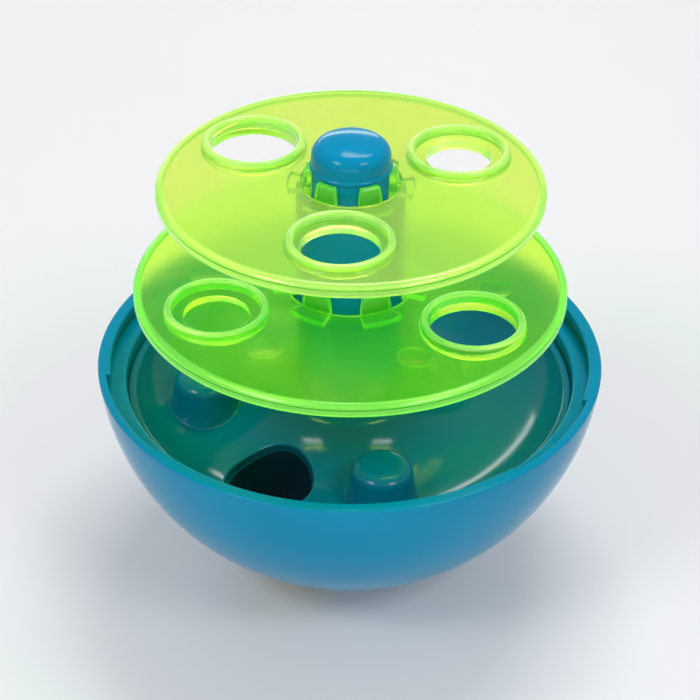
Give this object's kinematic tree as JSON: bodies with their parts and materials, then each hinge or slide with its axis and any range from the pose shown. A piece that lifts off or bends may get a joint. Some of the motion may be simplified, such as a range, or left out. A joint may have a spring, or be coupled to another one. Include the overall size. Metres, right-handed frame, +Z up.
{
  "type": "treat dispensing wobble toy",
  "caption": "Weighted ball-shaped pet toy, cover off: blue bowl with a pegged trough tray, exit chute and central post that carries turning clear green discs with treat holes.",
  "frame": {"origin": "centre of the flat foot under the ball", "axes": "+Z up along the post, -Y towards the picture's front"},
  "size_m": [0.1394, 0.1394, 0.1309],
  "materials": {
    "blue_plastic": "gloss moulded",
    "tray_plastic": "satin moulded",
    "green_plastic": "clear fluorescent",
    "steel": "zinc plated"
  },
  "bodies": {
    "base": {"bowl_shell": "blue_plastic", "tray": "tray_plastic", "column": "blue_plastic", "ballast_weight": "steel", "ballast_cap": "blue_plastic", "cap_screws": "steel", "column_screws": "steel"},
    "lower_tier": {"lower_disc": "green_plastic"},
    "upper_tier": {"upper_disc": "green_plastic"}
  },
  "joints": [
    {"name": "lower_disc_turn", "type": "hinge", "parent": "base", "child": "lower_tier", "pos_m": [0, 0, 0.08775], "axis": [0, 0, 1], "continuous": true},
    {"name": "upper_disc_turn", "type": "hinge", "parent": "base", "child": "upper_tier", "pos_m": [0, 0, 0.1185], "axis": [0, 0, 1], "continuous": true}
  ]
}
